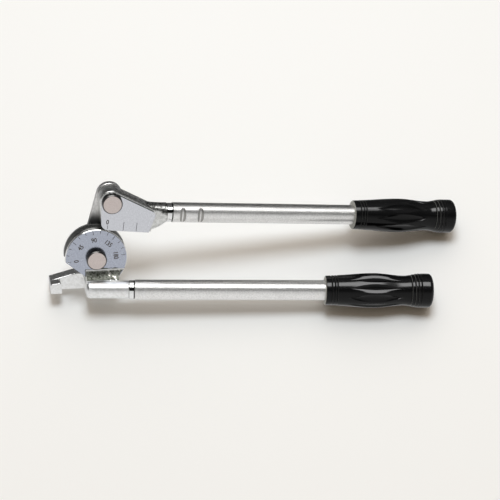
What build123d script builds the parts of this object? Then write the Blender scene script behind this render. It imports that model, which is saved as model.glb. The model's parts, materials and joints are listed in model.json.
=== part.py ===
from build123d import *
from math import atan2, cos, degrees, radians, sin, tan
import os

# A lever-type tube bender for 9.5 mm (3/8 in) tube. Lengths are in millimetres.
# The tool is drawn in its own wheel frame: origin at the middle of the form wheel, X along the form
# handle, Y towards the shoe pin, Z out of the dial. Every plane is carried from there to the attitude
# in which the closed tool rests on a bench: +Z up, +X along the form handle, origin on the bench
# under the middle of the tool.

# --- tube and bend -----------------------------------------------------------------------------
tube_od = 9.5
bend_radius = 23.8
groove_radius = tube_od / 2 + 0.05
zero_mark = 186.0  # wheel angle at which a bend starts
bend_range = 180.0

# --- form wheel --------------------------------------------------------------------------------
wheel_thickness = 14.2
half_thickness = wheel_thickness / 2
rim_gap = 0.15
wheel_radius = bend_radius - rim_gap
loading_chord = 16.6  # distance of the loading flat from the wheel's middle
loading_slope = -40.0
mark_width = 0.35  # scribed marks of the dial and the shoe
mark_depth = 0.25
tick_gap = 0.9  # from the rim to the dial's ticks
mark_gap = 0.6  # from the groove's edge to the shoe's marks

# --- link and pins -----------------------------------------------------------------------------
pin_spacing = 46.9
link_angle = 75.2
link_half_width = 9.8
link_thickness = 5.0
pin_radius = 5.5
pin_tail_radius = 4.5
pin_head_radius = 7.7
pin_head_height = 5.0
pin_head_chamfer = 0.9
peen_height = 1.6
bush_radius = 6.9
running_clearance = 0.04
axial_clearance = 0.05
thrust_washer = 0.8
thrust_washer_radius = 9.4
rear_washer = 1.2
rear_washer_radius = 8.0

# --- bending shoe ------------------------------------------------------------------------------
shoe_slope = -6.3  # direction of the shoe's groove in the wheel frame
groove_depth = 23.1  # shoe pin to the middle of the groove
shoe_edge = 22.75  # shoe pin to the groove's edges
shoe_top = 9.5  # shoe pin to the sloping top edge
shoe_top_slope = -22.5
forging_draft = 3.0
forging_round = 1.3
pad_height = 0.35
pad_inset = 1.7
pad_corner = 1.8

# --- handles -----------------------------------------------------------------------------------
handle_radius = 7.7
handle_bore = 6.1
form_offset_y = -23.2
form_offset_z = 13.0
form_splay = 8.1  # the form handle leans out of the wheel plane, so that the shoe passes behind it
shoe_offset_y = 36.2
shoe_handle_slope = -3.7
shank_radius = 6.8
shank_round = 2.4
shoe_shank_radius = 7.6
collar_radius = 7.25
form_tang, shoe_tang = 60.0, 46.0
form_collar_start, form_tube_start, form_grip_start = 24.0, 28.6, 175.0
shoe_collar_start, shoe_tube_start, shoe_grip_start = 54.2, 59.1, 203.0
grip_length = 84.2
grip_cap = 3.2
plug_length = 12.0
crimp_places = (66.6, 80.4)
crimp_depth = 1.1
crimp_width = 4.8
crimp_offset = 5.0

# --- resting attitude --------------------------------------------------------------------------
rest_position = (-123.906, -8.985, 32.032)
rest_angles = (52.8248, 9.2084, -1.4724)

tool = Location(rest_position, rest_angles)


def in_tool(plane):
    """Carry a plane of the wheel frame to the resting attitude."""
    return Plane(tool * plane.location)


def pin_point(distance, angle):
    """A point of the wheel plane at a distance and an angle from the wheel's middle."""
    return Vector(distance * cos(radians(angle)), distance * sin(radians(angle)), 0)


def turned_plane(origin, angle):
    """A plane parallel to the dial, with its X turned to an angle."""
    return Plane(origin=origin, x_dir=(cos(radians(angle)), sin(radians(angle)), 0), z_dir=(0, 0, 1))


# Planes of the wheel frame that the pieces are drawn on
shoe_pin_place = pin_point(pin_spacing, link_angle)
wheel_face = in_tool(Plane.XY)
link_face = in_tool(turned_plane((0, 0, 0), link_angle))
shoe_face = in_tool(turned_plane(shoe_pin_place, shoe_slope))
form_line = in_tool(
    Plane(
        origin=(0, form_offset_y, form_offset_z),
        x_dir=(cos(radians(form_splay)), 0, sin(radians(form_splay))),
        z_dir=(-sin(radians(form_splay)), 0, cos(radians(form_splay))),
    )
)
shoe_line = in_tool(turned_plane((0, shoe_offset_y, 0), shoe_handle_slope))

# Places along the wheel's normal, from the dial backwards
link_front = -half_thickness - thrust_washer - 2 * axial_clearance
link_back = link_front - link_thickness
tail_end = link_back - rear_washer - peen_height


def cross_plane(line, distance):
    """The plane across a handle at a distance along it."""
    place = line.from_local_coords((distance, 0, 0))
    return Plane(origin=place, x_dir=line.y_dir, z_dir=line.x_dir)


def turned(line, points):
    """A piece turned about a handle's line from (distance, radius) points."""
    with BuildPart() as piece:
        with BuildSketch(line):
            with BuildLine():
                Polyline(*points, close=True)
            make_face()
        revolve(axis=Axis(line.origin, line.x_dir))
    return piece


# ===== form wheel: grooved wheel, web, hook and shank in one forging ============================

# The web that carries the wheel on the shank: its section across the tool, then its front outline
web_left, web_right = -8.0, 24.0
foot_bottom, foot_right, arm_back, arm_front = -30.4, -28.0, -15.8, -5.6

with BuildPart() as web:
    with BuildSketch(in_tool(Plane.YZ.offset(web_left))):
        with BuildLine():
            Polyline((-16.5, 13.0), (-24.4, 15.5), (-29.0, 13.5), (foot_bottom, 8.0), (foot_bottom, -8.0),
                     (-24.0, arm_back), (-17.4, arm_back), (-13.2, -half_thickness),
                     (-4.0, -half_thickness), (-4.0, half_thickness), (-8.0, half_thickness))
            ThreePointArc((-8.0, half_thickness), (-13.3, 8.9), (-16.5, 13.0))
        make_face()
    extrude(amount=web_right - web_left)
    with BuildSketch(in_tool(Plane.XY.offset(-20))):
        with BuildLine():
            Polyline((21.9, -9.0), (21.0, -4.0), (web_left, -4.0), (web_left, foot_bottom),
                     (17.5, foot_right), (16.4, -22.0))
            ThreePointArc((16.4, -22.0), (17.3, -14.6), (21.9, -9.0))
        make_face()
    extrude(amount=40, mode=Mode.INTERSECT)

# The tube leans on the lug's inner face, so that face lies along the tube at the start of a bend
start_point = pin_point(bend_radius, zero_mark)
lug_left, lug_top, lug_bottom, lug_front = -34.6, -20.9, -30.2, 2.6
lug_corner = 1.0
arm_top = -22.2


def start_side(height):
    """Place of the lug's inner face at a height, 0.1 mm off the tube."""
    lean = tan(radians(zero_mark - 180))
    reach = (tube_od / 2 + 0.1) / cos(radians(zero_mark - 180))
    return start_point.X - (height - start_point.Y) * lean - reach


with BuildPart() as hook:
    with BuildSketch(in_tool(Plane.XY.offset(arm_back))):
        with BuildLine():
            Polyline((lug_left, lug_bottom), (lug_left, arm_top), (-14.3, -17.0), (0, -17.4),
                     (6.0, foot_right), (web_left - 2.0, foot_bottom), (-30.0, foot_bottom), close=True)
        make_face()
        fillet(vertices().group_by(Axis.X)[0], lug_corner)
    extrude(amount=arm_front - arm_back)
    arm_rims = hook.faces().filter_by(Axis(wheel_face.origin, wheel_face.z_dir)).edges()
    fillet(arm_rims, 0.9)
    with BuildSketch(in_tool(Plane.XY.offset(arm_back + 2))):
        with BuildLine():
            Polyline((lug_left, lug_bottom), (lug_left, arm_top), (start_side(lug_top), lug_top),
                     (start_side(lug_bottom), lug_bottom), close=True)
        make_face()
        fillet(vertices(), lug_corner)
    extrude(amount=lug_front - arm_back - 2)
    lug_rim = hook.faces().sort_by(Axis(wheel_face.origin, wheel_face.z_dir))[-1].edges()
    fillet(lug_rim, 0.7)

with BuildPart() as form_wheel:
    with BuildSketch(wheel_face.offset(-half_thickness)):
        Circle(wheel_radius)
    extrude(amount=wheel_thickness)
    rims = form_wheel.edges().filter_by(GeomType.CIRCLE)
    chamfer(rims, 0.45)
    # the half-round bending groove, and the flat that lets a tube in past the rim
    with BuildSketch(in_tool(Plane.XZ)):
        with Locations((bend_radius, 0)):
            Circle(groove_radius)
    revolve(axis=Axis(wheel_face.origin, wheel_face.z_dir), mode=Mode.SUBTRACT)
    with BuildSketch(in_tool(turned_plane((0, 0, 0), loading_slope)).offset(-half_thickness)):
        with Locations((0, -loading_chord)):
            Rectangle(60, 30, align=(Align.CENTER, Align.MAX))
    extrude(amount=wheel_thickness, mode=Mode.SUBTRACT)
    add(web.part)
    add(hook.part)
    # shank, and the tang inside the handle tube
    with BuildSketch(form_line):
        with BuildLine():
            Line((web_left, 0), (web_left, shank_radius - shank_round))
            RadiusArc((web_left, shank_radius - shank_round), (web_left + shank_round, shank_radius),
                      shank_round)
            Polyline((web_left + shank_round, shank_radius), (form_collar_start, shank_radius),
                     (form_collar_start, 0), (web_left, 0))
        make_face()
    revolve(axis=Axis(form_line.origin, form_line.x_dir))
    with BuildSketch(cross_plane(form_line, form_collar_start)):
        Circle(handle_bore)
    extrude(amount=form_tang)
    # bore for the bush, and the tube's way out past the web at the end of the longest bend
    with BuildSketch(wheel_face.offset(-half_thickness)):
        Circle(bush_radius)
    extrude(amount=wheel_thickness, mode=Mode.SUBTRACT)
    for mark in (zero_mark, zero_mark - bend_range):
        leaving = in_tool(turned_plane(pin_point(bend_radius, mark), zero_mark - 270))
        with BuildSketch(cross_plane(leaving, 0)):
            Circle(groove_radius)
        extrude(amount=60, mode=Mode.SUBTRACT)
    # dial ticks every 15 degrees, longer every 45
    for step in range(13):
        tick_angle = zero_mark - 15 * step
        tick_length = 3.4 if step % 3 == 0 else 2.2
        with BuildSketch(in_tool(turned_plane((0, 0, 0), tick_angle)).offset(half_thickness - mark_depth)):
            with Locations((wheel_radius - tick_gap - tick_length / 2, 0)):
                Rectangle(tick_length, mark_width)
        extrude(amount=2 * mark_depth, mode=Mode.SUBTRACT)

# ===== bending shoe: grooved block, neck and shank in one forging ===============================
block_end = 31.5
top_normal = (-sin(radians(shoe_top_slope)), cos(radians(shoe_top_slope)))


def top_edge(distance, offset):
    """Height of the sloping top edge, measured from the shoe pin."""
    return (offset - top_normal[0] * distance) / top_normal[1]


def shoe_outline(radius, end, lower_corner):
    """Side outline of the block: round about the pin, sloping top, flat groove side."""
    with BuildLine() as outline:
        touch = (radius * top_normal[0], radius * top_normal[1])
        nose = (-radius, 0.0)
        nose_angle = radians((180 + degrees(atan2(touch[1], touch[0]))) / 2)
        round_end = ThreePointArc(nose, (radius * cos(nose_angle), radius * sin(nose_angle)), touch)
        heel = Line(nose, (-lower_corner - 1.6, -17.0))
        ThreePointArc(heel @ 1, (-lower_corner + 0.1, -21.0), (-lower_corner + 4.4, -shoe_edge))
        Line((-lower_corner + 4.4, -shoe_edge), (end, -shoe_edge))
        Line((end, -shoe_edge), (end + 3.8, top_edge(end + 3.8, radius) - 2.6))
        Line((end + 3.8, top_edge(end + 3.8, radius) - 2.6), (end + 1.6, top_edge(end + 1.6, radius)))
        Line((end + 1.6, top_edge(end + 1.6, radius)), touch)
    return outline


block_outline = shoe_outline(shoe_top, block_end + 1.0, 4.8)
pad_outline = shoe_outline(shoe_top - pad_inset, block_end - 0.6, 4.6)

with BuildPart() as shoe_block:
    # both halves of the forging taper away from the parting line
    with BuildSketch(shoe_face):
        add(block_outline.line)
        make_face()
    extrude(amount=-half_thickness, taper=forging_draft)
    mirror(about=shoe_face)
    with BuildSketch(shoe_face.offset(half_thickness - pad_height)):
        Circle(3 * block_end)
    extrude(amount=2 * pad_height, mode=Mode.SUBTRACT)
    block_faces = shoe_block.faces().sort_by(Axis(shoe_face.origin, shoe_face.z_dir))
    fillet(block_faces[-1].edges() + block_faces[0].edges(), forging_round)
    # machined pad round the pin, which carries the marks
    with BuildSketch(shoe_face):
        add(pad_outline.line)
        make_face()
        fillet(vertices().sort_by(Axis.X)[-2:], pad_corner)
    extrude(amount=half_thickness)
    # neck from the block to the round shank
    with BuildSketch(cross_plane(shoe_face, block_end - 10)):
        with Locations((-11.3, 0)):
            RectangleRounded(22.0, 11.6, 4.0)
    with BuildSketch(cross_plane(shoe_face, block_end + 3)):
        with Locations((-11.3, 0)):
            RectangleRounded(20.8, 12.6, 5.6)
    with BuildSketch(cross_plane(shoe_line, shoe_collar_start)):
        Circle(shoe_shank_radius)
    loft()
    with BuildSketch(cross_plane(shoe_line, shoe_collar_start)):
        Circle(handle_bore)
    extrude(amount=shoe_tang)
    # bore for the bush, and the half-round groove along the tube
    with BuildSketch(shoe_face.offset(-half_thickness)):
        Circle(bush_radius)
    extrude(amount=wheel_thickness, mode=Mode.SUBTRACT)
    with BuildSketch(cross_plane(shoe_face, -15)):
        with Locations((-groove_depth, 0)):
            Circle(groove_radius)
    extrude(amount=80, mode=Mode.SUBTRACT)
    # alignment marks along the groove: a short one at the pin, then two long ones
    for place, length in ((-1.1, 3.6), (11.0, 7.0), (21.0, 7.0)):
        with BuildSketch(shoe_face.offset(half_thickness - mark_depth)):
            with Locations((place, -shoe_edge + mark_gap + length / 2)):
                Rectangle(mark_width, length)
        extrude(amount=2 * mark_depth, mode=Mode.SUBTRACT)

# ===== link, pins, bushes and washers ===========================================================
with BuildPart() as link_plate:
    with BuildSketch(link_face.offset(link_back)):
        with Locations((pin_spacing / 2, 0)):
            SlotCenterToCenter(pin_spacing, 2 * link_half_width)
        with Locations((0, 0), (pin_spacing, 0)):
            Circle(pin_tail_radius, mode=Mode.SUBTRACT)
    extrude(amount=link_thickness)
    link_rims = link_plate.faces().filter_by(Axis(link_face.origin, link_face.z_dir)).edges()
    chamfer(link_rims.filter_by(GeomType.LINE), 0.5)


def pivot_pin(place):
    """Headed pin: bevelled head on the dial side, running shaft, tail riveted over behind the link."""
    with BuildPart() as pin:
        with BuildSketch(place.offset(half_thickness + axial_clearance)):
            Circle(pin_head_radius)
        extrude(amount=pin_head_height)
        head_rim = pin.faces().sort_by(Axis(place.origin, place.z_dir))[-1].edges()
        chamfer(head_rim, pin_head_chamfer)
        with BuildSketch(place.offset(link_front)):
            Circle(pin_radius)
        extrude(amount=half_thickness + axial_clearance - link_front)
        with BuildSketch(place.offset(tail_end + peen_height)):
            Circle(pin_tail_radius)
        extrude(amount=link_front - tail_end - peen_height)
        with BuildSketch(place.offset(tail_end + peen_height)):
            Circle(pin_tail_radius + 1.7)
        extrude(amount=-peen_height, taper=30)
    return pin


def ring(place, back, length, outer, inner):
    """A plain ring: bush or washer."""
    with BuildPart() as piece:
        with BuildSketch(place.offset(back)):
            Circle(outer)
            Circle(inner, mode=Mode.SUBTRACT)
        extrude(amount=length)
    return piece


shaft_hole = pin_radius + running_clearance
thrust_back = link_front + axial_clearance
washer_back = link_back - rear_washer

wheel_pin = pivot_pin(wheel_face)
shoe_pin = pivot_pin(shoe_face)
wheel_bush = ring(wheel_face, -half_thickness, wheel_thickness, bush_radius, shaft_hole)
shoe_bush = ring(shoe_face, -half_thickness, wheel_thickness, bush_radius, shaft_hole)
wheel_thrust_washer = ring(wheel_face, thrust_back, thrust_washer, thrust_washer_radius, shaft_hole)
shoe_thrust_washer = ring(shoe_face, thrust_back, thrust_washer, thrust_washer_radius, shaft_hole)
wheel_rivet_washer = ring(wheel_face, washer_back, rear_washer, rear_washer_radius, pin_tail_radius)
shoe_rivet_washer = ring(shoe_face, washer_back, rear_washer, rear_washer_radius, pin_tail_radius)

# ===== handles ==================================================================================
# Both handles hold the same pieces: a collar over the tang, the tube, a plug in its end and a grip.


def handle_collar(line, start, end):
    """Polished collar over the tang, between the forging and the tube."""
    return turned(line, [(start, handle_bore), (start, collar_radius - 0.5), (start + 0.5, collar_radius),
                         (end - 0.5, collar_radius), (end, collar_radius - 0.5), (end, handle_bore)])


def handle_tube(line, start, end, crimps):
    """Steel handle tube, pressed onto the tang at each crimp from the dial's side and from behind."""
    with BuildPart() as tube:
        with BuildSketch(cross_plane(line, start)):
            Circle(handle_radius)
            Circle(handle_bore, mode=Mode.SUBTRACT)
        extrude(amount=end - start)
        for place in crimps:
            for across in (line.y_dir, -line.y_dir):
                press = Plane(line.origin, x_dir=line.x_dir, z_dir=across)
                with BuildSketch(press):
                    with Locations((place, handle_radius + 0.5)):
                        Ellipse(crimp_width / 2, crimp_depth + 0.5)
                hub = press.from_local_coords((0, -crimp_offset, 0))
                revolve(axis=Axis(hub, line.x_dir), mode=Mode.SUBTRACT)
    return tube


def handle_plug(line, end):
    """Plastic plug in the tube's open end, with a flange over the end."""
    flange = 1.2
    return turned(line, [(end - plug_length, 0), (end - plug_length, handle_bore - 0.6),
                         (end - plug_length + 1, handle_bore), (end, handle_bore), (end, handle_radius),
                         (end + flange, handle_radius), (end + flange, 0)])


def handle_grip(line, start):
    """Dipped grip: bulge for the palm, waist for the fingers, domed end."""
    end = start + grip_length
    bore_end = end - grip_cap
    with BuildPart() as grip:
        with BuildSketch(line):
            with BuildLine():
                Polyline((start + 0.8, 11.3), (start, 10.5), (start, handle_radius),
                         (bore_end, handle_radius), (bore_end, 0), (end, 0), (end, 9.5))
                ThreePointArc((end, 9.5), (end - 1.0, 12.2), (end - 3.6, 13.2))
                Line((end - 3.6, 13.2), (end - 11.0, 13.2))
                Spline((end - 11.0, 13.2), (start + 61.5, 11.5), (start + 38.0, 13.4), (start + 15, 12.1),
                       (start + 0.8, 11.3))
            make_face()
        revolve(axis=Axis(line.origin, line.x_dir))
    return grip


def tube_end(grip_start):
    """Where a handle tube ends inside its grip."""
    return grip_start + grip_length - grip_cap - 1.2


form_collar = handle_collar(form_line, form_collar_start, form_tube_start)
form_tube = handle_tube(form_line, form_tube_start, tube_end(form_grip_start), ())
form_plug = handle_plug(form_line, tube_end(form_grip_start))
form_grip = handle_grip(form_line, form_grip_start)
shoe_collar = handle_collar(shoe_line, shoe_collar_start, shoe_tube_start)
shoe_tube = handle_tube(shoe_line, shoe_tube_start, tube_end(shoe_grip_start), crimp_places)
shoe_plug = handle_plug(shoe_line, tube_end(shoe_grip_start))
shoe_grip = handle_grip(shoe_line, shoe_grip_start)

# ===== labels and files =========================================================================
pieces = {
    "form_wheel": form_wheel,
    "form_collar": form_collar,
    "form_handle_tube": form_tube,
    "form_handle_plug": form_plug,
    "form_handle_grip": form_grip,
    "wheel_bush": wheel_bush,
    "link_plate": link_plate,
    "wheel_pin": wheel_pin,
    "shoe_pin": shoe_pin,
    "wheel_thrust_washer": wheel_thrust_washer,
    "shoe_thrust_washer": shoe_thrust_washer,
    "wheel_rivet_washer": wheel_rivet_washer,
    "shoe_rivet_washer": shoe_rivet_washer,
    "shoe_bush": shoe_bush,
    "shoe_block": shoe_block,
    "shoe_collar": shoe_collar,
    "shoe_handle_tube": shoe_tube,
    "shoe_handle_plug": shoe_plug,
    "shoe_handle_grip": shoe_grip,
}
os.makedirs("parts", exist_ok=True)
for name, piece in pieces.items():
    piece.part.label = name
    export_step(piece.part, f"parts/{name}.step")
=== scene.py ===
# Looks of a lever-type tube bender lying on a pale bench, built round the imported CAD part.
# Lengths are in metres. The tool's own frame has its origin in the middle of the form wheel,
# X along the form handle, Y towards the shoe pin and Z out of the dial.

import json
from math import cos, pi, radians, sin, sqrt

import bpy
from mathutils import Matrix, Vector


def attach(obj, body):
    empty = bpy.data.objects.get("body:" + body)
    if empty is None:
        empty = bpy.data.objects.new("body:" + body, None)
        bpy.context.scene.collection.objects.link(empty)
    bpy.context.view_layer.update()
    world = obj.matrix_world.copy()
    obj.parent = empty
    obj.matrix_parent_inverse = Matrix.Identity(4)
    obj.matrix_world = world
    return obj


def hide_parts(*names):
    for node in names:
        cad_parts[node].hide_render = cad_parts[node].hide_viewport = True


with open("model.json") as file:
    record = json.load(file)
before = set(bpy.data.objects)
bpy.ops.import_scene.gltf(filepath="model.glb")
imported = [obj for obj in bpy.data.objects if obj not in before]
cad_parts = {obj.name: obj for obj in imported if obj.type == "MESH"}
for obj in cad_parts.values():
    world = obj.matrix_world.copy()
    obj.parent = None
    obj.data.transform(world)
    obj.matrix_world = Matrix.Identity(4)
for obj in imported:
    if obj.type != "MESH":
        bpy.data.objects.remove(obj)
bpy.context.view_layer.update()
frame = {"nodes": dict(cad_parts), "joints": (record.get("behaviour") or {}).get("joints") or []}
nodes = frame["nodes"]
joints = {joint["name"]: joint for joint in frame["joints"]}
MM = 0.001

# ===== the tool's frame, from its two joints ====================================================
LINK_ANGLE = radians(75.2)
SHOE_SLOPE = radians(-6.3)
wheel_middle = Vector(joints["link_swing"]["pos_m"])
shoe_pin_middle = Vector(joints["shoe_pivot"]["pos_m"])
dial_normal = Vector(joints["link_swing"]["axis"]).normalized()
link_way = (shoe_pin_middle - wheel_middle).normalized()
tool_x = Matrix.Rotation(-LINK_ANGLE, 3, dial_normal) @ link_way
tool_y = dial_normal.cross(tool_x)
shoe_x = Matrix.Rotation(SHOE_SLOPE, 3, dial_normal) @ tool_x
shoe_y = dial_normal.cross(shoe_x)


def in_tool(x, y, z):
    """A direction or an offset of the tool's frame, in the scene's axes."""
    return tool_x * x + tool_y * y + dial_normal * z


def frame_matrix(origin, x_way, y_way, z_way):
    """The matrix of a frame with the given origin and axes."""
    matrix = Matrix((x_way, y_way, z_way)).transposed().to_4x4()
    matrix.translation = origin
    return matrix


# Both handles' lines: a point on the line level with the wheel's middle, and the way along it
FORM_SPLAY = radians(8.1)
SHOE_HANDLE_SLOPE = radians(-3.7)
form_origin = wheel_middle + in_tool(0, -23.2, 13.0) * MM
form_way = in_tool(cos(FORM_SPLAY), 0, sin(FORM_SPLAY)).normalized()
shoe_origin = wheel_middle + in_tool(0, 36.2, 0) * MM
shoe_way = in_tool(cos(SHOE_HANDLE_SLOPE), sin(SHOE_HANDLE_SLOPE), 0).normalized()

# ===== camera ===================================================================================
camera_x = in_tool(0.9776, 0.0353, 0.207).normalized()
camera_z = in_tool(-0.204, 0.399, 0.894)
camera_z = (camera_z - camera_x * camera_z.dot(camera_x)).normalized()
camera_y = camera_z.cross(camera_x)
camera_place = wheel_middle + (camera_x * 118.6 + camera_y * 3.7 + camera_z * 1149.2) * MM
camera_data = bpy.data.cameras.new("camera")
camera_data.lens = 108
camera_data.sensor_width = 36
camera = bpy.data.objects.new("camera", camera_data)
camera.matrix_world = frame_matrix(camera_place, camera_x, camera_y, camera_z)
bpy.context.scene.collection.objects.link(camera)
bpy.context.scene.camera = camera
bpy.context.scene.view_settings.view_transform = "Standard"

up = Vector((0, 0, 1))
north = camera_y.copy()
north.z = 0
north.normalize()
east = north.cross(up).normalized()


# ===== node trees ===============================================================================
class Tree:
    """Shorthand for building a node tree."""

    def __init__(self, tree):
        self.tree = tree

    def node(self, kind, **settings):
        made = self.tree.nodes.new("ShaderNode" + kind)
        for key, value in settings.items():
            setattr(made, key, value)
        return made

    def put(self, value, target):
        """Links a socket, or sets a plain value."""
        if isinstance(value, bpy.types.NodeSocket):
            self.tree.links.new(value, target)
        elif target.type == "RGBA" and len(value) == 3:
            target.default_value = (*value, 1.0)
        else:
            target.default_value = value

    def math(self, operation, *values, clamp=False):
        made = self.node("Math", operation=operation, use_clamp=clamp)
        for value, target in zip(values, made.inputs):
            self.put(value, target)
        return made.outputs[0]

    def dot(self, vector, way):
        made = self.node("VectorMath", operation="DOT_PRODUCT")
        self.put(vector, made.inputs[0])
        made.inputs[1].default_value = way
        return made.outputs["Value"]

    def step(self, value, low, high, smooth=True):
        """0 below low, 1 above high."""
        made = self.node("MapRange", interpolation_type="SMOOTHSTEP" if smooth else "LINEAR")
        self.put(value, made.inputs["Value"])
        made.inputs["From Min"].default_value = low
        made.inputs["From Max"].default_value = high
        return made.outputs["Result"]

    def below(self, value, low, high):
        """1 below low, 0 above high."""
        return self.math("SUBTRACT", 1.0, self.step(value, low, high))

    def both(self, *shares):
        """Share that lies in every one of the given shares."""
        result = shares[0]
        for share in shares[1:]:
            result = self.math("MULTIPLY", result, share)
        return result

    def noise(self, vector, scale, detail=2.0, roughness=0.5):
        made = self.node("TexNoise")
        self.put(vector, made.inputs["Vector"])
        made.inputs["Scale"].default_value = scale
        made.inputs["Detail"].default_value = detail
        made.inputs["Roughness"].default_value = roughness
        return made.outputs["Fac"]

    def mix(self, share, first, second):
        made = self.node("Mix", data_type="RGBA")
        self.put(share, made.inputs["Factor"])
        self.put(first, made.inputs["A"])
        self.put(second, made.inputs["B"])
        return made.outputs["Result"]

    def blend(self, share, first, second):
        """Mix of two numbers."""
        made = self.node("Mix", data_type="FLOAT")
        self.put(share, made.inputs["Factor"])
        self.put(first, made.inputs["A"])
        self.put(second, made.inputs["B"])
        return made.outputs["Result"]

    def ramp(self, value, stops):
        """Grey ramp through (place, level) stops."""
        made = self.node("ValToRGB")
        band = made.color_ramp
        band.interpolation = "LINEAR"
        for place, level in stops[1:-1]:
            band.elements.new(place)
        ordered = sorted(band.elements, key=lambda item: item.position)
        for item, (place, level) in zip(ordered, stops):
            item.position = place
            item.color = (level, level, level, 1)
        self.put(value, made.inputs["Fac"])
        return made.outputs["Color"]


class Surface(Tree):
    """A material's tree, with the places on a piece that its finish depends on."""

    def __init__(self, name):
        self.material = bpy.data.materials.new(name)
        self.material.use_nodes = True
        super().__init__(self.material.node_tree)
        self.shader = self.tree.nodes["Principled BSDF"]
        self.place = self.node("TexCoord").outputs["Object"]
        self.facing = self.node("TexCoord").outputs["Normal"]

    def along(self, origin, way):
        """Distance in millimetres from a point, along a direction."""
        return self.math("MULTIPLY", self.math("SUBTRACT", self.dot(self.place, way), origin.dot(way)), 1 / MM)

    def around(self, origin, way):
        """Distance in millimetres from a line."""
        side = way.orthogonal().normalized()
        other = way.cross(side)
        a = self.along(origin, side)
        b = self.along(origin, other)
        return self.math("SQRT", self.math("ADD", self.math("MULTIPLY", a, a), self.math("MULTIPLY", b, b)))

    def finish(self, color, roughness, metallic=1.0, height=None, strength=0.3, depth=0.0001, edge=0.0):
        self.put(color, self.shader.inputs["Base Color"])
        self.put(roughness, self.shader.inputs["Roughness"])
        self.put(metallic, self.shader.inputs["Metallic"])
        normal = None
        if edge:
            bevel = self.node("Bevel", samples=4)
            bevel.inputs["Radius"].default_value = edge
            normal = bevel.outputs["Normal"]
        if height is not None:
            bump = self.node("Bump")
            bump.inputs["Strength"].default_value = strength
            bump.inputs["Distance"].default_value = depth
            self.put(height, bump.inputs["Height"])
            if normal is not None:
                self.put(normal, bump.inputs["Normal"])
            normal = bump.outputs["Normal"]
        if normal is not None:
            self.put(normal, self.shader.inputs["Normal"])
        return self.material


def satin_tube(name, origin, way):
    """Plated tube with a fine satin speckle and faint draw lines."""
    s = Surface(name)
    speckle = s.noise(s.place, 900, 3.0, 0.6)
    grain = s.noise(s.place, 2600, 2.0, 0.6)
    cloud = s.noise(s.place, 60, 2.0)
    tone = s.step(s.math("ADD", s.math("MULTIPLY", speckle, 0.75), s.math("MULTIPLY", cloud, 0.25)), 0.3, 0.7)
    color = s.mix(tone, (0.78, 0.77, 0.75), (0.97, 0.96, 0.94))
    # painted shade on faces turned along the tube: the crimps' flanks and the tube's ends are coloured dark
    flank_painted_shade = s.step(s.math("ABSOLUTE", s.dot(s.facing, way)), 0.05, 0.24)
    color = s.mix(flank_painted_shade, color, (0.40, 0.39, 0.37))
    rough = s.blend(grain, 0.36, 0.44)
    height = s.math("ADD", speckle, s.math("MULTIPLY", grain, 0.5))
    s.shader.inputs["Anisotropic"].default_value = 0.35
    turned = s.node("VectorTransform", vector_type="VECTOR", convert_from="OBJECT", convert_to="WORLD")
    turned.inputs[0].default_value = way
    s.put(turned.outputs[0], s.shader.inputs["Tangent"])
    return s.finish(color, rough, height=height, strength=0.5, depth=0.00012, edge=0.0003)


class Forging(Surface):
    """Plated forging: grained skin under a machined face, with inked marks cut into the face."""

    def __init__(self, name, pin, skin, mill):
        super().__init__(name)
        self.lift = self.along(pin, dial_normal)
        flat = self.step(self.dot(self.facing, dial_normal), 0.9, 0.97)
        self.face = self.both(self.step(self.lift, 6.9, 7.0), self.below(self.lift, 7.15, 7.25), flat)
        self.marks = self.both(self.step(self.lift, 6.78, 6.82), self.below(self.lift, 6.9, 6.95), flat)
        self.coarse = self.noise(self.place, 420, 3.0, 0.65)
        self.fine = self.noise(self.place, 1800, 2.0, 0.6)
        self.mill = self.mix(self.step(self.fine, 0.3, 0.7), *mill)
        self.color = self.mix(self.step(self.coarse, 0.3, 0.7), *skin)
        self.rough = self.blend(self.noise(self.place, 90, 2.0), 0.24, 0.36)
        self.height = self.math("ADD", self.coarse, self.math("MULTIPLY", self.fine, 0.4))

    def cover(self, share, color=None, rough=None, grain=None):
        """Gives a share of the piece its own colour, roughness or depth of grain."""
        if color is not None:
            self.color = self.mix(share, self.color, color)
        if rough is not None:
            self.rough = self.blend(share, self.rough, rough)
        if grain is not None:
            self.height = self.blend(share, self.height, self.math("MULTIPLY", self.fine, grain))

    def forged(self):
        """Inks the marks and finishes the material."""
        self.cover(self.marks, (0.05, 0.045, 0.04), 0.7)
        return self.finish(self.color, self.rough, height=self.height, strength=0.35, depth=0.0002,
                           edge=0.00025)


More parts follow.
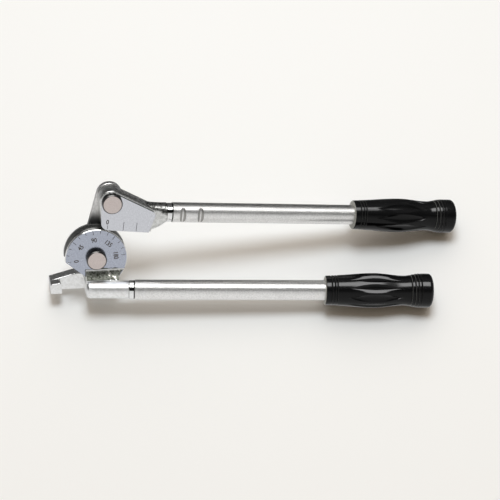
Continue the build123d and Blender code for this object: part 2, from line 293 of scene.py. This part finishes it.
def wheel_forging():
    """Turned rim, groove painted dark as shade, bright shank and hook, and a rough web between wheel and shank
    painted dark as shade, with painted glints.
    """
    s = Forging("forged_steel_wheel", wheel_middle, skin=((0.84, 0.84, 0.82), (0.99, 0.99, 0.98)),
                mill=((0.43, 0.46, 0.54), (0.54, 0.57, 0.65)))
    level = s.math("ABSOLUTE", s.lift)
    across = s.along(wheel_middle, tool_x)
    above = s.along(wheel_middle, tool_y)
    off_shank = s.around(form_origin, form_way)
    rim = s.both(s.below(s.around(wheel_middle, dial_normal), 23.75, 23.85), s.below(level, 7.15, 7.25))
    s.cover(rim, rough=0.16, grain=0.1)
    # painted shade: the groove between the rim's flanges is coloured dark
    s.cover(s.both(rim, s.below(level, 4.7, 5.0)), (0.16, 0.16, 0.155), 0.34)
    s.cover(s.both(s.below(off_shank, 6.9, 7.0), s.step(across, -8.6, -7.6)), rough=0.42)
    # painted shade: the web between wheel and shank is coloured dark over its pitted skin
    web = s.both(s.step(s.lift, 7.2, 7.6), s.step(off_shank, 6.95, 7.1), s.step(across, -8.5, -7.5))
    pits = s.step(s.noise(s.place, 700, 3.0, 0.7), 0.35, 0.62)
    s.cover(web, s.mix(pits, (0.05, 0.055, 0.04), (0.30, 0.31, 0.27)), 0.55)
    # painted highlights: pale flecks of glare on the web's right end
    painted_glints = s.step(s.noise(s.place, 420, 2.0), 0.5, 0.6)
    s.cover(s.both(s.step(across, 7.0, 10.0), painted_glints, web), (0.92, 0.90, 0.84), 0.25)
    s.cover(s.face, s.mill, 0.2, 0.15)
    # painted shade: the dark web's uneven border spreads onto the dial
    ragged_shade = s.math("SUBTRACT", s.math("MULTIPLY", s.noise(s.place, 330, 3.0, 0.6), 5.0), above)
    ragged_shade = s.both(s.step(ragged_shade, 10.7, 11.2), s.step(across, -9.0, -8.0), s.step(across, 17.0, 16.0), s.face)
    s.cover(ragged_shade, (0.09, 0.09, 0.07))
    return s.forged()


TOP_SLOPE = radians(22.5)
PAD_EDGE, PAD_END, BLOCK_EDGE = 7.8, 36.2, 9.5


def shoe_forging():
    """Machined pad with a sharp upper border painted dark as shade, and speckled sides behind it darkened as a
    painted dark reflection.
    """
    s = Forging("forged_steel_shoe", shoe_pin_middle, skin=((0.60, 0.60, 0.58), (0.84, 0.84, 0.82)),
                mill=((0.66, 0.67, 0.71), (0.78, 0.79, 0.83)))
    pad = s.step(s.along(shoe_pin_middle, shoe_x), PAD_END, PAD_END - 0.5)
    s.face = s.both(s.face, pad)
    s.marks = s.both(s.marks, pad)
    top = s.along(shoe_pin_middle, shoe_x * sin(TOP_SLOPE) + shoe_y * cos(TOP_SLOPE))
    # painted dark reflection: the block's upper sides behind the pad are speckled dark
    speckle = s.mix(s.step(s.coarse, 0.35, 0.65), (0.10, 0.10, 0.095), (0.62, 0.62, 0.60))
    s.cover(s.step(top, BLOCK_EDGE - 0.7, BLOCK_EDGE - 0.2), speckle)
    s.cover(s.face, s.mill, 0.2, 0.15)
    # painted shade: a sharp dark line along the pad's upper border
    s.cover(s.both(s.step(top, PAD_EDGE - 0.8, PAD_EDGE - 0.55), s.face), (0.035, 0.035, 0.035))
    return s.forged()


def link_steel():
    """Forged link plate, painted near black as shade where it lies behind the wheel."""
    s = Surface("link_steel")
    coarse = s.noise(s.place, 500, 3.0, 0.6)
    fine = s.noise(s.place, 2000, 2.0)
    color = s.mix(s.step(coarse, 0.3, 0.7), (0.74, 0.73, 0.71), (0.92, 0.91, 0.89))
    # painted shade: near black within 24 mm of the wheel's middle, back to the plate's own colour by 36 mm
    beyond = s.step(s.around(wheel_middle, dial_normal), 24.0, 36.0)
    color = s.mix(beyond, (0.08, 0.08, 0.08), color)
    return s.finish(color, s.blend(fine, 0.32, 0.46), height=coarse, strength=0.3, depth=0.0002, edge=0.0004)


def turned_steel(name, pin):
    """Pin with turning rings on its pinkish ends, and its head's side painted near black below the bevel as a
    dark reflection.
    """
    s = Surface(name)
    radius = s.around(pin, dial_normal)
    wobble = s.math("MULTIPLY", s.noise(s.place, 300, 1.0), 0.8)
    rings = s.math("SINE", s.math("ADD", s.math("MULTIPLY", radius, 9.0), wobble))
    fine = s.noise(s.place, 1500, 2.0)
    level = s.dot(s.facing, dial_normal)
    end = s.step(s.math("ABSOLUTE", level), 0.9, 0.97)
    tone = s.math("ADD", s.math("MULTIPLY", rings, 0.3), fine, clamp=True)
    color = s.mix(tone, (0.56, 0.48, 0.45), (0.84, 0.75, 0.71))
    # painted dark reflection: above 6 mm the head's side wall is near black and its bevel dark grey
    slant = s.step(level, 0.2, 0.5)
    head = s.step(s.along(pin, dial_normal), 5.5, 6.0)
    side = s.mix(head, (0.60, 0.58, 0.56), s.mix(slant, (0.02, 0.02, 0.02), (0.13, 0.125, 0.12)))
    color = s.mix(end, side, color)
    rough = s.blend(end, s.blend(slant, 0.45, 0.3), 0.38)
    height = s.math("ADD", s.math("MULTIPLY", rings, 0.5), fine)
    return s.finish(color, rough, height=height, strength=0.15, depth=0.0001, edge=0.00012)


def chrome(name, origin, way, start, end):
    """Polished collar with one band of painted dark reflection, and painted shade where it meets its
    neighbours.
    """
    s = Surface(name)
    haze = s.noise(s.place, 700, 2.0)
    color = s.mix(haze, (0.86, 0.86, 0.85), (0.97, 0.97, 0.96))
    place = s.along(origin, way)
    # painted shade: dark at both ends, where the collar meets its neighbours
    ends = s.math("MAXIMUM", s.step(place, start + 0.4, start + 0.2), s.step(place, end - 1.0, end - 0.7))
    # painted reflection: a dark band on the faces turned 117 degrees up from the far horizon
    dark_reflection_way = north * cos(radians(117)) + up * sin(radians(117))
    dark_reflection_way = (dark_reflection_way - way * dark_reflection_way.dot(way)).normalized()
    dark_reflection = s.step(s.dot(s.facing, dark_reflection_way), 0.984, 0.993)
    color = s.mix(dark_reflection, color, (0.05, 0.05, 0.05))
    color = s.mix(ends, color, (0.03, 0.03, 0.03))
    return s.finish(color, s.blend(haze, 0.05, 0.12), height=haze, strength=0.04, depth=0.0001, edge=0.0003)


def washer_steel():
    s = Surface("washer_steel")
    fine = s.noise(s.place, 1300, 2.0)
    color = s.mix(fine, (0.50, 0.49, 0.47), (0.72, 0.71, 0.69))
    return s.finish(color, s.blend(fine, 0.25, 0.40), height=fine, strength=0.15, depth=0.0001, edge=0.0002)


def bronze():
    s = Surface("bronze_bush")
    pores = s.noise(s.place, 2200, 3.0, 0.7)
    color = s.mix(s.step(pores, 0.35, 0.65), (0.38, 0.24, 0.12), (0.62, 0.44, 0.24))
    return s.finish(color, s.blend(pores, 0.35, 0.5), height=pores, strength=0.25, depth=0.0001)


def plug_plastic():
    s = Surface("plug_plastic")
    fine = s.noise(s.place, 900, 2.0)
    color = s.mix(fine, (0.02, 0.02, 0.02), (0.05, 0.05, 0.05))
    return s.finish(color, s.blend(fine, 0.5, 0.6), metallic=0.0, height=fine, strength=0.1, depth=0.0001)


def vinyl(name, way):
    """Glossy dipped vinyl, with a slow ripple and a fine skin, and a painted sheen on its inner end."""
    s = Surface(name)
    ripple = s.noise(s.place, 110, 2.0)
    skin = s.noise(s.place, 2500, 2.0, 0.6)
    dust = s.step(s.noise(s.place, 1200, 3.0, 0.7), 0.62, 0.72)
    color = s.mix(s.math("MULTIPLY", dust, 0.5), (0.003, 0.003, 0.0032), (0.012, 0.012, 0.0125))
    # painted highlight: the inner end face is coloured pale grey and made rough
    end_sheen = s.step(s.dot(s.facing, way), -0.7, -0.95)
    color = s.mix(end_sheen, color, (0.42, 0.42, 0.39))
    rough = s.blend(end_sheen, s.blend(ripple, 0.1, 0.16), 0.45)
    lit = s.step(s.dot(s.facing, up), 0.85, 0.98)
    s.put(s.blend(lit, 0.22, 0.62), s.shader.inputs["Specular IOR Level"])
    height = s.math("ADD", ripple, s.math("MULTIPLY", skin, 0.12))
    return s.finish(color, rough, metallic=0.0, height=height, strength=0.12, depth=0.0004)


def ink(name, color):
    s = Surface(name)
    fine = s.noise(s.place, 2500, 2.0)
    return s.finish(s.mix(fine, tuple(0.6 * c for c in color), color), 0.55, metallic=0.3, height=fine,
                    strength=0.2, depth=0.00005)


finishes = {
    "form_wheel": wheel_forging(),
    "shoe_block": shoe_forging(),
    "form_handle_tube": satin_tube("handle_tube_form", form_origin, form_way),
    "shoe_handle_tube": satin_tube("handle_tube_shoe", shoe_origin, shoe_way),
    "wheel_pin": turned_steel("pin_steel_wheel", wheel_middle),
    "shoe_pin": turned_steel("pin_steel_shoe", shoe_pin_middle),
    "link_plate": link_steel(),
    "form_collar": chrome("polished_collar_form", form_origin, form_way, 24.0, 28.6),
    "shoe_collar": chrome("polished_collar_shoe", shoe_origin, shoe_way, 54.2, 59.1),
}
washer, bush, plug = washer_steel(), bronze(), plug_plastic()
for name in ("wheel_thrust_washer", "shoe_thrust_washer", "wheel_rivet_washer", "shoe_rivet_washer"):
    finishes[name] = washer
for name in ("wheel_bush", "shoe_bush"):
    finishes[name] = bush
for name in ("form_handle_plug", "shoe_handle_plug"):
    finishes[name] = plug
for name, finish in finishes.items():
    for held in nodes[name].material_slots:
        held.material = finish

# ===== grips ====================================================================================
GRIP_LENGTH = 84.2
GRIP_PROFILE = ((0.8, 11.3), (15.0, 12.1), (38.0, 13.4), (61.5, 11.5), (73.2, 13.2), (80.6, 13.2))
RING_GROOVES = (4.7, 7.1, 9.0, 66.6, 69.3, 71.7, 74.1)
RING_WIDTH, RING_DEPTH = 1.3, 0.5
FLUTES, FLUTE_START, FLUTE_END, FLUTE_DEPTH = 10, 17.5, 59.5, 1.25
FLUTE_HALF = radians(15.2)
BORE_RADIUS, BORE_END = 7.75, 81.05


def body_radius(s):
    """Radius of the grip's body, a smooth curve through the profile's points."""
    points = GRIP_PROFILE
    if s <= points[0][0]:
        return points[0][1]
    if s >= points[-1][0]:
        return points[-1][1]
    slopes = []
    for i, (place, radius) in enumerate(points):
        before, after = points[max(i - 1, 0)], points[min(i + 1, len(points) - 1)]
        slopes.append((after[1] - before[1]) / (after[0] - before[0]))
    # level at the bulge, at the waist and along the end
    slopes[2:] = [0.0] * 4
    for i in range(len(points) - 1):
        (s0, r0), (s1, r1) = points[i], points[i + 1]
        if s <= s1:
            t = (s - s0) / (s1 - s0)
            span = s1 - s0
            return ((2 * t**3 - 3 * t**2 + 1) * r0 + (t**3 - 2 * t**2 + t) * span * slopes[i]
                    + (-2 * t**3 + 3 * t**2) * r1 + (t**3 - t**2) * span * slopes[i + 1])


def lens(s):
    """Share of a flute's full width at a place: 0 at its pointed ends, 1 in the middle."""
    t = (2 * s - FLUTE_START - FLUTE_END) / (FLUTE_END - FLUTE_START)
    return max(0.0, 1 - t * t)


def grip_places():
    """Places along the grip's outside, close together at the ring grooves."""
    places = {0.0, 0.25, 0.5, 0.8}
    for middle in RING_GROOVES:
        places.update(round(middle + RING_WIDTH * k / 12, 3) for k in range(-7, 8))
    steps = [1.2 + 0.9 * k for k in range(89)]
    places.update(s for s in steps if s < 80.6 and min(abs(s - m) for m in RING_GROOVES) > RING_WIDTH * 0.62)
    return sorted(places)


def grip_mesh(name, origin, way, turn):
    """A grip as one closed mesh: domed outside with rings and scalloped flutes, and a blind bore."""
    side = (camera_place - origin).cross(way).normalized()
    front = way.cross(side).normalized()
    side = way.cross(front)
    rows = []

    def add_row(s, radius_at):
        row = []
        for flute in range(FLUTES):
            share = max(lens(s), 0.06)
            half = FLUTE_HALF * share
            middle = turn + 2 * pi * flute / FLUTES
            inside = [half * k / 4 for k in range(-4, 5)]
            gap = 2 * pi / FLUTES - 2 * half
            outside = [half + gap * k / 4 for k in range(1, 4)]
            for offset in inside + outside:
                radius = radius_at(abs(offset) / half if abs(offset) <= half else 1.0)
                angle = middle + offset
                row.append(origin + way * (s * MM) + (front * cos(angle) + side * sin(angle)) * (radius * MM))
        rows.append(row)

    def outer(s):
        ring = sum(RING_DEPTH * (0.5 + 0.5 * cos(2 * pi * (s - m) / RING_WIDTH))
                   for m in RING_GROOVES if abs(s - m) < RING_WIDTH / 2)
        edge = 0.8 - sqrt(max(0.0, 0.64 - max(0.0, 0.8 - s) ** 2))
        base = body_radius(s) - ring - edge
        depth = FLUTE_DEPTH * sqrt(lens(s)) if lens(s) > 0 else 0.0
        return lambda t: base - depth * (1 - t * t)

    for s in (BORE_END, 40.0, 0.0):
        add_row(s, lambda t: BORE_RADIUS)
    for s in grip_places():
        add_row(s, outer(s))
    for k in range(1, 13):
        angle = radians(90 * k / 12)
        add_row(80.6 + 3.6 * sin(angle), lambda t: 4.2 + 9.0 * cos(angle) ** 0.75)
    add_row(GRIP_LENGTH + 0.15, lambda t: 2.0)
    count = len(rows[0])
    points = [p for row in rows for p in row]
    faces = []
    for i in range(len(rows) - 1):
        for j in range(count):
            k = (j + 1) % count
            faces.append((i * count + j, i * count + k, (i + 1) * count + k, (i + 1) * count + j))
    faces.append(tuple(reversed(range(count))))
    faces.append(tuple(range((len(rows) - 1) * count, len(rows) * count)))
    mesh = bpy.data.meshes.new(name)
    mesh.from_pydata(points, [], faces)
    for polygon in mesh.polygons:
        polygon.use_smooth = True
    mesh.set_sharp_from_angle(angle=radians(28))
    piece = bpy.data.objects.new(name, mesh)
    bpy.context.scene.collection.objects.link(piece)
    return piece


for name, node, body, origin, way, start, turn in (
    ("form_grip_fluted", "form_handle_grip", "form_handle", form_origin, form_way, 175.0, radians(-6)),
    ("shoe_grip_fluted", "shoe_handle_grip", "shoe_handle", shoe_origin, shoe_way, 203.0, radians(12)),
):
    grip = grip_mesh(name, origin + way * (start * MM), way, turn)
    grip.data.materials.append(vinyl("vinyl_" + body, way))
    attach(grip, body)
    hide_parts(node)

# ===== numbers of the dial ======================================================================
dial_ink = ink("dial_ink", (0.16, 0.15, 0.15))


def number(name, text, middle, right, top, height, body):
    """A stamped number: its strokes stand a hair above the face."""
    curve = bpy.data.curves.new(name, "FONT")
    curve.body = text
    curve.align_x = "CENTER"
    curve.align_y = "CENTER"
    curve.resolution_u = 6
    curve.offset = 0.028
    letters = bpy.data.objects.new(name + "_text", curve)
    bpy.context.scene.collection.objects.link(letters)
    shape = letters.evaluated_get(bpy.context.evaluated_depsgraph_get())
    mesh = bpy.data.meshes.new_from_object(shape)
    bpy.data.objects.remove(letters)
    low = Vector(min(v.co[i] for v in mesh.vertices) for i in range(3))
    high = Vector(max(v.co[i] for v in mesh.vertices) for i in range(3))
    mesh.transform(Matrix.Translation(-(low + high) / 2))
    mesh.transform(Matrix.Diagonal((0.85, 1, 1, 1)) * (height * MM / (high.y - low.y)))
    mesh.transform(frame_matrix(middle, right, top, dial_normal))
    mesh.materials.clear()
    mesh.materials.append(dial_ink)
    piece = bpy.data.objects.new(name, mesh)
    bpy.context.scene.collection.objects.link(piece)
    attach(piece, body)


for k in range(5):
    angle = radians(186 - 45 * k)
    out = in_tool(cos(angle), sin(angle), 0)
    place = wheel_middle + (out * 15.2 + dial_normal * 7.12) * MM
    number(f"dial_number_{45 * k}", str(45 * k), place, out.cross(dial_normal), out, 3.8, "form_handle")
place = shoe_pin_middle + (shoe_x * -1.5 + shoe_y * -16.0 + dial_normal * 7.12) * MM
number("shoe_number_0", "0", place, shoe_x, shoe_y, 3.8, "shoe_handle")

# ===== bench, light and surroundings ============================================================
bench_mesh = bpy.data.meshes.new("bench")
corners = [Vector((x, y, 0)) for x, y in ((-4, -4), (4, -4), (4, 4), (-4, 4))]
bench_mesh.from_pydata(corners, [], [(0, 1, 2, 3)])
bench = bpy.data.objects.new("bench", bench_mesh)
bpy.context.scene.collection.objects.link(bench)
s = Surface("bench_paper")
fibre = s.noise(s.place, 700, 3.0)
cloud = s.noise(s.place, 2.5, 1.0)
paper = s.mix(s.math("MULTIPLY", fibre, cloud), (0.925, 0.912, 0.882), (0.915, 0.90, 0.868))
s.finish(paper, 0.9, metallic=0.0, height=fibre, strength=0.02, depth=0.0001)
s.shader.inputs["Specular IOR Level"].default_value = 0.0
bench_mesh.materials.append(s.material)
bench.visible_glossy = False

lamp_data = bpy.data.lights.new("lamp", "AREA")
lamp_data.shape = "DISK"
lamp_data.size = 0.68
lamp_data.energy = 14.5
lamp_data.color = (0.81, 0.905, 1.0)
lamp = bpy.data.objects.new("lamp", lamp_data)
lamp_way = (north * cos(radians(75)) + up * sin(radians(75))).normalized()
target = wheel_middle + in_tool(110, 0, 0) * MM
lamp.matrix_world = frame_matrix(target + lamp_way * 1.6, east, lamp_way.cross(east), lamp_way)
lamp.visible_glossy = False
bpy.context.scene.collection.objects.link(lamp)

# What polished metal reflects: a dark far side, a soft box overhead, a dark gap, a pale near side.
world = bpy.data.worlds.new("studio")
world.use_nodes = True
bpy.context.scene.world = world
world.cycles.sampling_method = "NONE"
w = Tree(world.node_tree)
way = w.node("TexCoord").outputs["Generated"]
rise = w.dot(way, up)
reach = w.dot(way, north)
turn = w.math("ARCTAN2", rise, reach)
share = w.math("ADD", w.math("DIVIDE", turn, 2 * pi), 0.5)


def stops(*pairs):
    """Ramp stops from (degrees above the far horizon, level) pairs."""
    return [((degree + 180) / 360, level) for degree, level in pairs]


surround = w.ramp(share, stops((-180, 0.80), (-140, 0.80), (-90, 0.66), (-60, 0.58), (-35, 0.30),
                               (-18, 0.09), (0, 0.06), (42, 0.14), (100, 0.12), (122, 0.13),
                               (140, 0.66), (180, 0.80)))
box = w.ramp(share, stops((-180, 0.0), (56, 0.0), (60, 1.0), (84, 1.0), (88, 0.0), (180, 0.0)))
aside = w.math("ABSOLUTE", w.math("ARCSINE", w.dot(way, east)))
box_level = w.math("MULTIPLY", w.below(aside, radians(18), radians(24)), 4.4)
seen = w.math("ADD", surround, w.math("MULTIPLY", box, box_level))

# What the bench receives besides the lamp: a warm glow, strongest from the far side.
glow = w.math("MAXIMUM", w.dot(way, north * cos(radians(46)) + up * sin(radians(46))), 0.0)
warm = w.mix(w.math("POWER", glow, 5.0), (0.20, 0.165, 0.125), (2.10, 1.98, 1.86))
shade = w.mix(w.node("LightPath").outputs["Is Glossy Ray"], warm, seen)
background = world.node_tree.nodes["Background"]
w.put(shade, background.inputs["Color"])
